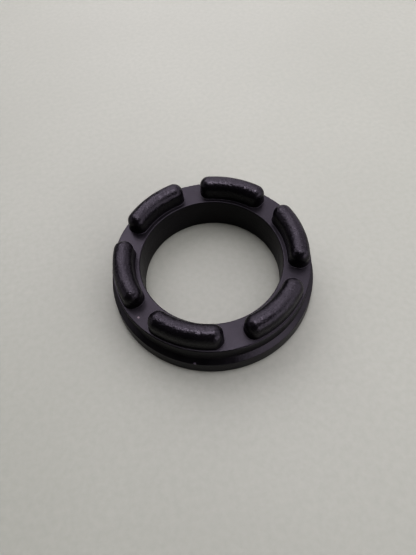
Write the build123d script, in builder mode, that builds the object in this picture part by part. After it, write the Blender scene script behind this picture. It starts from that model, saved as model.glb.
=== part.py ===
"""Bump stop: one moulded rubber ring, stepped outside, with six lobes on its top face.

The ring stands on its wide base flange, centred on the Z axis, with its base at Z = 0.
The middle of one lobe lies on +X.
All lengths are in millimetres and all angles in degrees.
"""
import os
from math import radians, tan
from build123d import *

# ---- ring: a straight bore, an upper body and a wider flange at the base ----
bore_diameter = 38.0
body_height = 9.8
flange_step = 1.3
flange_height = 4.2
flange_draft = 4.0
shoulder_rise = 1.3
# ---- rounded edges of the ring ----
bore_edge_radius = 0.3
rim_radius = 0.25
step_root_radius = 0.35
flange_edge_radius = 0.3
base_edge_radius = 0.3
# ---- lobes: raised arcs that take the first of the impact ----
lobe_count = 6
lobe_arc = 46.5
lobe_height = 5.1
lobe_width = 5.45
bore_land = 1.25
rim_land = 0.6
lobe_draft = 3.0
crest_flat = 0.1
end_roundness = 0.95
foot_radius = 0.2

# The top face is a bore land, a lobe and a rim land wide.
# A sloping shoulder leads from the foot of the body out to the edge of the flange.
bore_radius = bore_diameter / 2
inner_foot = bore_radius + bore_land
outer_foot = inner_foot + lobe_width
body_radius = outer_foot + rim_land
flange_top_radius = body_radius + flange_step
flange_base_radius = flange_top_radius + flange_height * tan(radians(flange_draft))
shoulder_height = flange_height + shoulder_rise

# A lobe's section stands on the top face: two drafted flanks that meet in a nearly full round.
crest_height = body_height + lobe_height
flank_lean = lobe_height * tan(radians(lobe_draft))
crest_width = lobe_width - 2 * flank_lean
crest_radius = (crest_width - crest_flat) / 2 / tan(radians((90 - lobe_draft) / 2))
end_radius = end_roundness * crest_radius

# One lobe: the section swept round the ring's axis, its two ends then rounded over.
with BuildPart() as lobe:
    with BuildSketch(Plane.XZ.rotated((0, 0, -lobe_arc / 2))) as lobe_section:
        with BuildLine():
            Polyline(
                (inner_foot, body_height),
                (outer_foot, body_height),
                (outer_foot - flank_lean, crest_height),
                (inner_foot + flank_lean, crest_height),
                close=True,
            )
        make_face()
        fillet(lobe_section.vertices().group_by(Axis.Y)[-1], radius=crest_radius)
    revolve(axis=Axis.Z, revolution_arc=lobe_arc)
    upright_faces = lobe.faces().filter_by(GeomType.PLANE).filter_by(Axis.Z, reverse=True)
    end_edges = upright_faces.edges() - lobe.faces().sort_by(Axis.Z)[0].edges()
    fillet(end_edges, radius=end_radius)

# The ring: its half-section turned about the axis, then the lobes set round its top face.
# Each corner is picked afresh, because rounding one corner makes the outline anew.
with BuildPart() as bump_stop_ring:
    with BuildSketch(Plane.XZ) as ring_section:
        bore_foot = (bore_radius, 0)
        flange_foot = (flange_base_radius, 0)
        flange_edge = (flange_top_radius, flange_height)
        step_root = (body_radius, shoulder_height)
        rim = (body_radius, body_height)
        bore_edge = (bore_radius, body_height)
        with BuildLine():
            Polyline(bore_foot, flange_foot, flange_edge, step_root, rim, bore_edge, close=True)
        make_face()
        corner_radii = {
            bore_foot: base_edge_radius,
            flange_foot: base_edge_radius,
            flange_edge: flange_edge_radius,
            step_root: step_root_radius,
            rim: rim_radius,
            bore_edge: bore_edge_radius,
        }
        for corner, corner_radius in corner_radii.items():
            fillet(ring_section.vertices().sort_by_distance(corner)[0], radius=corner_radius)
    revolve(axis=Axis.Z)
    with PolarLocations(0, lobe_count):
        add(lobe.part)
    top_face = bump_stop_ring.faces().filter_by(Axis.Z).sort_by(Axis.Z)[-1 - lobe_count]
    lobe_feet = top_face.inner_wires().group_by(SortBy.LENGTH)[0]
    fillet(lobe_feet.edges(), radius=foot_radius)

os.makedirs("parts", exist_ok=True)
bump_stop_ring.part.label = "bump_stop_ring"
export_step(bump_stop_ring.part, "parts/bump_stop_ring.step")
print("solids:", len(bump_stop_ring.part.solids()), "volume mm3:", round(bump_stop_ring.part.volume, 1))
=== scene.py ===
# %% [markdown]
# # A moulded rubber bump stop
#
# A bump stop is a thick rubber ring. It is slipped over a rod or a post and takes the knock
# when the travel runs out. This one has a straight bore, a flange at its base to sit on,
# and six raised lobes on top. The lobes squash before the thick ring does, so the stop
# begins gently and ends firmly.
#
# The shape comes from the CAD model, which stays as it is. What is left for Blender is the
# look: black rubber with the skin of the mould on it, a table to stand on, soft light, and a
# camera. Everything is in metres, with the base of the ring at height zero.

# %% Load the CAD model
import math

import bpy
from mathutils import Matrix, Vector


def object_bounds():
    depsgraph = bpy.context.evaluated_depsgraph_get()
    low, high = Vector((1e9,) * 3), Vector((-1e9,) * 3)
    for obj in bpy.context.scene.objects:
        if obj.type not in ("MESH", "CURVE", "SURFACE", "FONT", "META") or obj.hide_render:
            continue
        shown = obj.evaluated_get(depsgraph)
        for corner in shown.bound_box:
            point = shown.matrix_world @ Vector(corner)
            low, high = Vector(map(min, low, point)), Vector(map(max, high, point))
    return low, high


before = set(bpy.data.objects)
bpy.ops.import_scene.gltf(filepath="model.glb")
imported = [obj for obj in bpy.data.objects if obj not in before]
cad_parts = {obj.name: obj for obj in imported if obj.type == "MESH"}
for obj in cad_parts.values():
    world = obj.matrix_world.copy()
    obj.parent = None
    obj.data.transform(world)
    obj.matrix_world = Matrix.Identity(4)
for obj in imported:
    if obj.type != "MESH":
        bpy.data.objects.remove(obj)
cad_low, cad_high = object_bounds()
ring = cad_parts["bump_stop_ring"]
MM = 0.001
print("ring across, mm:", round((cad_high.x - cad_low.x) / MM, 2))
print("ring height, mm:", round((cad_high.z - cad_low.z) / MM, 2))

# %% [markdown]
# ## The camera
#
# The ring is seen from about 60 degrees above the table, close up, as it looks to somebody
# who has just put it down on a desk. A phone's wide lens is close to 27 mm on a full-frame
# sensor, and from so near it makes the near side of the ring a little larger than the far
# side. A track-to constraint could aim the camera, but a rotation worked out from three
# plain angles is easier to read and leaves nothing that has to be updated later.

# %% Aim the camera
CAMERA_AZIMUTH = math.radians(-9.5)
CAMERA_ELEVATION = math.radians(60.03)
CAMERA_ROLL = math.radians(-5.2)
CAMERA_DISTANCE = 119.12 * MM
CAMERA_AIM = Vector((-1.31 * MM, -0.08 * MM, 0.0))
LENS = 27.05
NEAREST_SEEN = 10 * MM


def direction(azimuth, elevation):
    """The unit vector that points away from the origin at these angles; azimuth 0 is -Y."""
    flat = math.cos(elevation)
    return Vector((math.sin(azimuth) * flat, -math.cos(azimuth) * flat, math.sin(elevation)))


camera_data = bpy.data.cameras.new("desk_view")
camera_data.lens = LENS
camera_data.clip_start = NEAREST_SEEN
camera = bpy.data.objects.new("desk_view", camera_data)
bpy.context.scene.collection.objects.link(camera)
back = direction(CAMERA_AZIMUTH, CAMERA_ELEVATION)
upright = (-back).to_track_quat("-Z", "Y").to_matrix().to_4x4()
turn = upright @ Matrix.Rotation(CAMERA_ROLL, 4, "Z")
camera.matrix_world = Matrix.Translation(CAMERA_AIM + back * CAMERA_DISTANCE) @ turn
bpy.context.scene.camera = camera
print("camera height above the table, mm:", round(camera.matrix_world.translation.z / MM, 1))

# %% [markdown]
# ## Colours and nodes
#
# Colours are easiest to note as sRGB hex, the way a paint chart gives them, but shaders
# work in linear light, so one function turns the one into the other. A second small function
# adds any shader node with its settings and links, and hands back the output that is wanted
# from it. With these two, a material reads as a short list of steps.
#
# Most sockets go by name. The Mix, Math and Vector Math nodes have several sockets of the
# same name, so theirs go by number. On a Mix node 0 is the amount. Its two colours are 6 and
# 7 and the mixed colour is output 2; its two plain values are 2 and 3 and the mixed value is
# output 0.
#
# A Noise node gives values from 0 to 1, but most of them lie near the middle. A Map Range
# node stretches that middle part to the range that is wanted, so its span has a name here.

# %% Small helpers
RUBBER_BLACK = "#1e1d1f"
NOISE_SPAN = {"From Min": 0.3, "From Max": 0.7}


def linear(hex_colour):
    """An sRGB hex colour such as "#8090a0" as linear red, green, blue and alpha."""
    parts = [int(hex_colour[i : i + 2], 16) / 255 for i in (1, 3, 5)]
    light = [p / 12.92 if p <= 0.04045 else ((p + 0.055) / 1.055) ** 2.4 for p in parts]
    return (*light, 1.0)


def node(tree, kind, wanted, inputs=None, **settings):
    """Adds one shader node and returns its wanted output. An input is a value or another output."""
    made = tree.nodes.new("ShaderNode" + kind)
    for name, value in settings.items():
        setattr(made, name, value)
    for name, value in (inputs or {}).items():
        if isinstance(value, bpy.types.NodeSocket):
            tree.links.new(value, made.inputs[name])
        else:
            made.inputs[name].default_value = value
    return made.outputs[wanted]


def new_material(name):
    """An empty material, with its node tree and the socket that takes its surface."""
    material = bpy.data.materials.new(name)
    material.use_nodes = True
    material.node_tree.nodes.clear()
    output = material.node_tree.nodes.new("ShaderNodeOutputMaterial")
    return material, material.node_tree, output.inputs["Surface"]


print("black rubber in linear light:", [round(c, 4) for c in linear(RUBBER_BLACK)[:3]])

# %% [markdown]
# ## The table
#
# The ring stands on a plain pale table top. It is one large flat square, which is enough,
# because only its colour matters: it shines up into the bore and along the outside wall,
# and that is why those dark walls look faintly green-grey rather than black. The laminate is
# slightly yellow-green by itself, and the lilac light brings it back to a plain pale grey.
# Two soft noises, one about three fingers wide and one the size of a crumb, keep it from
# looking like a sheet of paper.

# %% Table top
TABLE_SIZE = 1600 * MM
TABLE_CLOUD = 60 * MM
TABLE_FLECK = 1.6 * MM
TABLE_ROUGHNESS = 0.6
LAMINATE = "#9ca292"
LAMINATE_PALE = "#a3a999"
LAMINATE_FLECK = "#979e8e"

table_mesh = bpy.data.meshes.new("table_top")
half = TABLE_SIZE / 2
corners = [(-half, -half, 0), (half, -half, 0), (half, half, 0), (-half, half, 0)]
table_mesh.from_pydata(corners, [], [(0, 1, 2, 3)])
table = bpy.data.objects.new("table_top", table_mesh)
bpy.context.scene.collection.objects.link(table)

laminate, tree, surface = new_material("pale_laminate")
place = node(tree, "TexCoord", "Object")
cloud = node(tree, "TexNoise", "Fac", {"Vector": place, "Scale": 1 / TABLE_CLOUD, "Detail": 2.0})
fleck = node(tree, "TexNoise", "Fac", {"Vector": place, "Scale": 1 / TABLE_FLECK, "Detail": 3.0})
faint = node(tree, "MapRange", "Result", {"Value": fleck, **NOISE_SPAN, "To Min": 0.0, "To Max": 0.5})
clouded = node(tree, "Mix", 2, {0: cloud, 6: linear(LAMINATE), 7: linear(LAMINATE_PALE)}, data_type="RGBA")
flecked = node(tree, "Mix", 2, {0: faint, 6: clouded, 7: linear(LAMINATE_FLECK)}, data_type="RGBA")
shader = node(tree, "BsdfPrincipled", "BSDF", {"Base Color": flecked, "Roughness": TABLE_ROUGHNESS})
tree.links.new(shader, surface)
table_mesh.materials.append(laminate)
print("table top, m:", TABLE_SIZE)

# %% [markdown]
# ## The light
#
# Rubber this dark has almost no colour of its own. What the eye sees is the reflection of
# whatever is above it, so the light is placed by what each face mirrors.
#
# A small bright softbox hangs nearly straight overhead. The rounded crests of the lobes
# mirror it, and it draws the soft line along each of them. A larger one stands high on the
# far side, where the flat top face mirrors it towards the camera. Six more on the far side,
# the left and the right, each less than a third as bright as the overhead one, fill the
# slopes of the lobes beside that line, so that it fades instead of ending sharply. One low
# softbox at the near right is mirrored by the sloping shoulder there, which is why the
# shoulder is paler on that side. Nothing stands straight behind the camera, so the near
# flanks mirror a dark room and turn almost black, as they do when somebody bends over the
# ring to look at it.
#
# A softbox's power is worked out from how bright its cloth should look, so a large one and a
# small one of the same brightness leave the same reflection. All of them have the same
# slightly lilac cloth.
#
# The world behind everything is a pale wall to the camera and almost dark to the ring. The
# Light Path node tells the two apart, so a view from low down has a plain background and
# nearly all the light still comes from the softboxes.

# %% Softboxes and a dim room
SOFTBOX_DISTANCE = 500 * MM
SOFTBOX_CLOTH = "#f8eeff"
WALL_PAINT = "#f4f2f0"
WALL_TO_THE_RING = 0.02
WALL_TO_THE_CAMERA = 0.4


def softbox(name, azimuth, elevation, width_mm, height_mm, brightness):
    """A rectangular area light that faces the middle of the ring, seen as this bright."""
    width, height = width_mm * MM, height_mm * MM
    data = bpy.data.lights.new(name, "AREA")
    data.shape = "RECTANGLE"
    data.size, data.size_y = width, height
    data.energy = math.pi * width * height * brightness
    data.color = linear(SOFTBOX_CLOTH)[:3]
    lamp = bpy.data.objects.new(name, data)
    bpy.context.scene.collection.objects.link(lamp)
    away = direction(math.radians(azimuth), math.radians(elevation))
    lamp.location = away * SOFTBOX_DISTANCE
    lamp.rotation_mode = "QUATERNION"
    lamp.rotation_quaternion = away.to_track_quat("Z", "Y")


softbox("overhead", 170, 88, 200, 200, 6.0)
softbox("far_high", 170, 52, 330, 360, 1.6)
softbox("far_low", 170, 18, 330, 330, 0.9)
softbox("far_left", 212, 45, 330, 360, 1.8)
softbox("left_low", 258, 14, 330, 330, 0.6)
softbox("far_right", 128, 28, 330, 560, 0.8)
softbox("right_high", 85, 68, 300, 300, 1.3)
softbox("right_low", 82, 28, 330, 560, 1.1)
softbox("near_right", 36, 18, 480, 320, 1.7)

world = bpy.data.worlds.new("room")
bpy.context.scene.world = world
world.use_nodes = True
background = world.node_tree.nodes["Background"]
background.inputs["Color"].default_value = linear(WALL_PAINT)
seen = node(world.node_tree, "LightPath", "Is Camera Ray")
wall_range = {"Value": seen, "To Min": WALL_TO_THE_RING, "To Max": WALL_TO_THE_CAMERA}
wall_brightness = node(world.node_tree, "MapRange", "Result", wall_range)
world.node_tree.links.new(wall_brightness, background.inputs["Strength"])

# %% [markdown]
# ## The tone curve
#
# Black rubber on a pale table spans a wide range of brightness. The Standard view shows
# colours as they are, without a film-like curve. Its "Very High Contrast" look then makes
# the dark flanks deeper and the pale table lighter, which parts the two as clearly as the
# eye does on a real desk.

# %% Standard view, with more contrast
view = bpy.context.scene.view_settings
view.view_transform = "Standard"
view.look = "Very High Contrast"
print("view:", view.view_transform, "/", view.look)

# %% [markdown]
# ## The rubber
#
# The ring is taken to be compression-moulded nitrile rubber, filled with carbon black.
# Carbon black makes it nearly black right through, so the base colour is a very dark grey
# with a trace of purple. Rubber has a refractive index close to 1.52.
#
# Rubber copies the skin of its steel mould, and the mould is not the same all over. The
# cavities of the lobes look spark-eroded: they leave a slow waviness and a fine grain, and a
# highlight that breaks into specks where it fades. The flat top face looks turned, so it
# is smoother. The walls have a fainter grain of their own. Height alone tells these parts of
# the ring apart, so one value worked out from height sets how strong the relief is.
#
# Object coordinates ride with the ring, so the pattern stays on it when it is moved. The
# waves are 2.4 mm long and the grain is 0.6 mm wide. The finest grain of a real mould is
# near 0.05 mm. It is drawn at 0.3 mm here, because anything finer would only turn into noise
# at this distance. The relief is also drawn deeper than a mould leaves it, up to 0.15 mm,
# because a shallower one does not bend a highlight enough to be seen from here.

# %% Where the relief is strong
LOBE_HEIGHT = 5.1 * MM
TOP_FACE = cad_high.z - LOBE_HEIGHT
LOBE_SKIN_BEGINS = TOP_FACE + 0.2 * MM
LOBE_SKIN_FULL = TOP_FACE + 1.0 * MM
WALL_SKIN_ENDS = TOP_FACE - 0.5 * MM
TOP_SKIN_BEGINS = TOP_FACE - 0.1 * MM
WALL_RELIEF = 0.4
TOP_RELIEF = 0.15

rubber, tree, surface = new_material("moulded_nitrile_rubber")
place = node(tree, "TexCoord", "Object")
height = node(tree, "SeparateXYZ", "Z", {"Vector": place})
lobe_span = {"From Min": LOBE_SKIN_BEGINS, "From Max": LOBE_SKIN_FULL}
lobe_relief = node(tree, "MapRange", "Result", {"Value": height, **lobe_span})
ring_span = {"From Min": WALL_SKIN_ENDS, "From Max": TOP_SKIN_BEGINS}
ring_strength = {"To Min": WALL_RELIEF, "To Max": TOP_RELIEF}
ring_relief = node(tree, "MapRange", "Result", {"Value": height, **ring_span, **ring_strength})
relief = node(tree, "Math", "Value", {0: lobe_relief, 1: ring_relief}, operation="MAXIMUM")
print("top face at, mm:", round(TOP_FACE / MM, 2))

# %% [markdown]
# ### Waves and grain
#
# Three noises of different sizes are laid over one another with Bump nodes, each one bending
# the normals that the last one left. Displacing the mesh could do the same, but the ring
# must keep its exact size, and a bump changes only the shading.

# %% Waves, grain and fine grain
WAVE = 2.4 * MM
GRAIN = 0.6 * MM
FINE_GRAIN = 0.3 * MM
WAVE_HEIGHT = 0.15 * MM
GRAIN_HEIGHT = 0.08 * MM
FINE_GRAIN_HEIGHT = 0.02 * MM

wave = node(tree, "TexNoise", "Fac", {"Vector": place, "Scale": 1 / WAVE, "Detail": 2.0})
grain = node(tree, "TexNoise", "Fac", {"Vector": place, "Scale": 1 / GRAIN, "Detail": 2.0})
fine_grain = node(tree, "TexNoise", "Fac", {"Vector": place, "Scale": 1 / FINE_GRAIN, "Detail": 1.0})
waves = {"Height": wave, "Strength": relief, "Distance": WAVE_HEIGHT}
waved = node(tree, "Bump", "Normal", waves)
grains = {"Height": grain, "Strength": relief, "Distance": GRAIN_HEIGHT, "Normal": waved}
grained = node(tree, "Bump", "Normal", grains)
fine_grains = {"Height": fine_grain, "Strength": relief, "Distance": FINE_GRAIN_HEIGHT, "Normal": grained}
skin = node(tree, "Bump", "Normal", fine_grains)
print("pattern sizes, mm:", WAVE / MM, GRAIN / MM, FINE_GRAIN / MM)

# %% [markdown]
# ### Colour and gloss
#
# A trace of wax comes to the surface of rubber in soft patches, a few millimetres wide, and
# makes it greyer and duller there. This is called bloom. The crests of the grain are a
# little darker. Roughness is what a shader takes for gloss, the other way round: the lower it
# is, the glossier the rubber. The lobes are a little glossier than the rest, and there the
# roughness follows the grain instead of the bloom, with duller crests.

# %% Bloom, grain and roughness
BLOOM = 5.0 * MM
RUBBER_BLOOMED = "#262526"
RUBBER_ON_CRESTS = "#18171a"

bloom = node(tree, "TexNoise", "Fac", {"Vector": place, "Scale": 1 / BLOOM, "Detail": 3.0})
bloomed = node(tree, "MapRange", "Result", {"Value": bloom, "From Min": 0.35, "From Max": 0.65})
on_crests = node(tree, "MapRange", "Result", {"Value": grain, **NOISE_SPAN, "To Min": 0.0, "To Max": 0.4})
rubber_tones = {0: bloomed, 6: linear(RUBBER_BLACK), 7: linear(RUBBER_BLOOMED)}
tone = node(tree, "Mix", 2, rubber_tones, data_type="RGBA")
tone = node(tree, "Mix", 2, {0: on_crests, 6: tone, 7: linear(RUBBER_ON_CRESTS)}, data_type="RGBA")
plain_range = {"Value": bloom, **NOISE_SPAN, "To Min": 0.34, "To Max": 0.42}
plain_roughness = node(tree, "MapRange", "Result", plain_range)
lobe_range = {"Value": grain, **NOISE_SPAN, "To Min": 0.26, "To Max": 0.34}
lobe_roughness = node(tree, "MapRange", "Result", lobe_range)
roughness = node(tree, "Mix", 0, {0: relief, 2: plain_roughness, 3: lobe_roughness}, data_type="FLOAT")
print("bloom patches, mm:", BLOOM / MM)

# %% [markdown]
# ### Small marks and a painted highlight
#
# Three marks make it this ring and not just any ring: a crumb of dust on the top face, a
# dull dark spot on the flange at the left, and a small spot painted darker at the foot of a
# lobe. A fourth spot, on the edge of the flange, is a painted highlight: it is painted paler
# than the rest to stand in for a glint of light there. Each is the set of points near one
# centre, with a little noise added to the distance so that its edge is ragged. They are
# painted on: they change colour and roughness, and have no depth. The painted highlight
# keeps the roughness that is there.

# %% Dust, a painted highlight and two dull spots
RUBBER_IOR = 1.52
DUST_ROUGHNESS = 0.8
DULL_ROUGHNESS = 0.75


def spot(tree, place, centre_mm, radius_mm):
    """A mask: 1 within about this radius of a point of the ring, 0 outside, with a ragged edge."""
    centre, radius = [c * MM for c in centre_mm], radius_mm * MM
    away = node(tree, "VectorMath", "Value", {0: place, 1: centre}, operation="DISTANCE")
    rough_edge = node(tree, "TexNoise", "Fac", {"Vector": place, "Scale": 1 / radius, "Detail": 1.0})
    ragged = node(tree, "Math", "Value", {0: rough_edge, 1: radius, 2: away}, operation="MULTIPLY_ADD")
    edge = {"From Min": 1.2 * radius, "From Max": 1.7 * radius, "To Min": 1.0, "To Max": 0.0}
    return node(tree, "MapRange", "Result", {"Value": ragged, **edge})


dust = spot(tree, place, (-21.6, -12.1, 9.8), 0.28)
# A spot on the flange edge painted paler: a painted highlight that stands in for a glint.
painted_glint = spot(tree, place, (-10.7, -25.3, 4.3), 0.35)
dull = spot(tree, place, (-26.7, -6.6, 4.3), 0.4)
# A small spot at the foot of a lobe, painted darker and duller, with no depth.
dark_foot_spot = spot(tree, place, (11.2, -16.8, 9.8), 0.4)
# The second of these colours, the pale one, is a painted highlight on the flange edge.
for mark, colour in ((dust, "#8d8784"), (painted_glint, "#6f6b70"), (dull, "#0c0b0d"), (dark_foot_spot, "#080708")):
    tone = node(tree, "Mix", 2, {0: mark, 6: tone, 7: linear(colour)}, data_type="RGBA")
for mark, duller in ((dust, DUST_ROUGHNESS), (dull, DULL_ROUGHNESS), (dark_foot_spot, DULL_ROUGHNESS)):
    roughness = node(tree, "Mix", 0, {0: mark, 2: roughness, 3: duller}, data_type="FLOAT")

finish = {"Base Color": tone, "Roughness": roughness, "IOR": RUBBER_IOR, "Normal": skin}
tree.links.new(node(tree, "BsdfPrincipled", "BSDF", finish), surface)
ring.data.materials.clear()
ring.data.materials.append(rubber)
print("rubber on:", ring.name)
